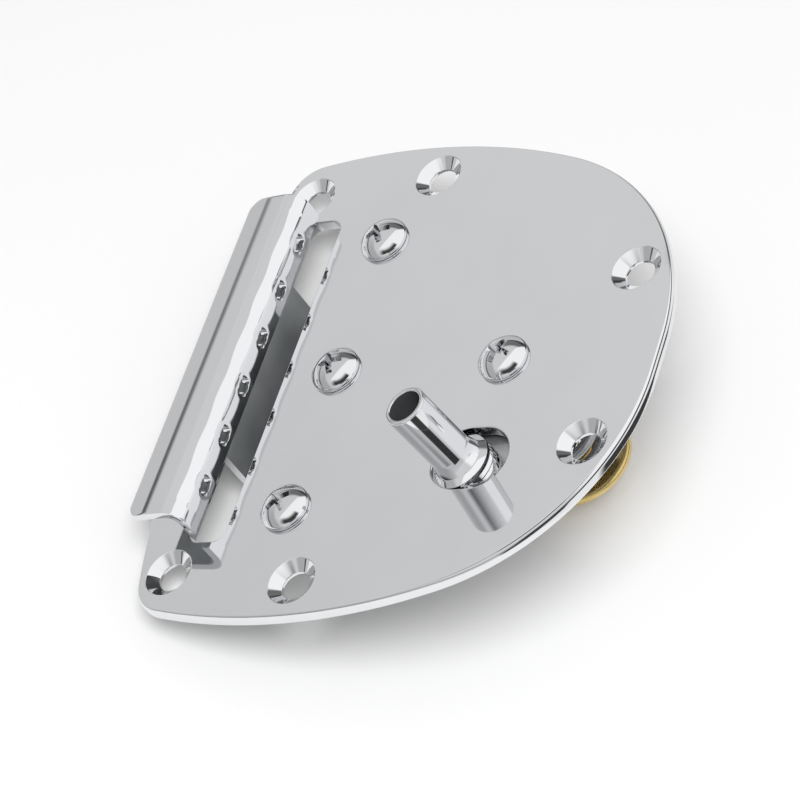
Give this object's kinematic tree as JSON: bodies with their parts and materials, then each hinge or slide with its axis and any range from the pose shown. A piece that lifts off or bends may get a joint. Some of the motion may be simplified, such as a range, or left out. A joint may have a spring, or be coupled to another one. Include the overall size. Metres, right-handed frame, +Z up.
{
  "type": "guitar tremolo bridge",
  "caption": "Polished guitar tremolo tailpiece: a rounded screw-down plate, a bent string anchor on a knife-edge lever, an arm socket and a screw-set coil spring below.",
  "frame": {"origin": "on the plate's underside, midway between the two middle body-screw holes", "axes": "+X along the strings towards the neck, +Y towards the side away from the arm socket, +Z up out of the guitar's top"},
  "size_m": [0.0937, 0.1, 0.0483],
  "materials": {
    "polished_chrome": "mirror-polished chrome plating",
    "screw_chrome": "polished chrome plating",
    "plain_steel": "plain plated steel, satin",
    "spring_steel": "drawn spring wire, satin",
    "brass": "turned brass"
  },
  "bodies": {
    "base": {"base_plate": "polished_chrome", "fulcrum_bar": "plain_steel", "pivot_screw_far": "screw_chrome", "pivot_screw_centre": "screw_chrome", "pivot_screw_near": "screw_chrome"},
    "lever": {"string_anchor": "polished_chrome", "lever_plate": "plain_steel", "lever_rivet_far": "plain_steel", "lever_rivet_near": "plain_steel", "arm_collet": "polished_chrome", "collet_ring": "polished_chrome", "collet_washer": "plain_steel", "collet_nut": "plain_steel", "spring_seat": "plain_steel"},
    "screw": {"tension_screw": "screw_chrome"},
    "nut": {"spring_nut": "brass", "tension_spring": "spring_steel"}
  },
  "joints": [
    {"name": "lever_pivot", "type": "hinge", "parent": "base", "child": "lever", "pos_m": [-0.018, 0, -0.0072], "axis": [0, 1, 0], "range_deg": [0, 10], "stiffness_Nm_per_rad": 8, "springref_deg": -5.73, "deforming": ["tension_spring"]},
    {"name": "nut_travel", "type": "slide", "parent": "base", "child": "nut", "axis": [0, 0, 1], "range_m": [-0.0016, 0]},
    {"name": "tension_turn", "type": "hinge", "parent": "base", "child": "screw", "pos_m": [0.0274, 0, 0], "axis": [0, 0, 1], "range_deg": [0, 721]}
  ],
  "couplings": [
    {"joint": "tension_turn", "follows": "nut_travel", "rad_per_m": -7854}
  ]
}
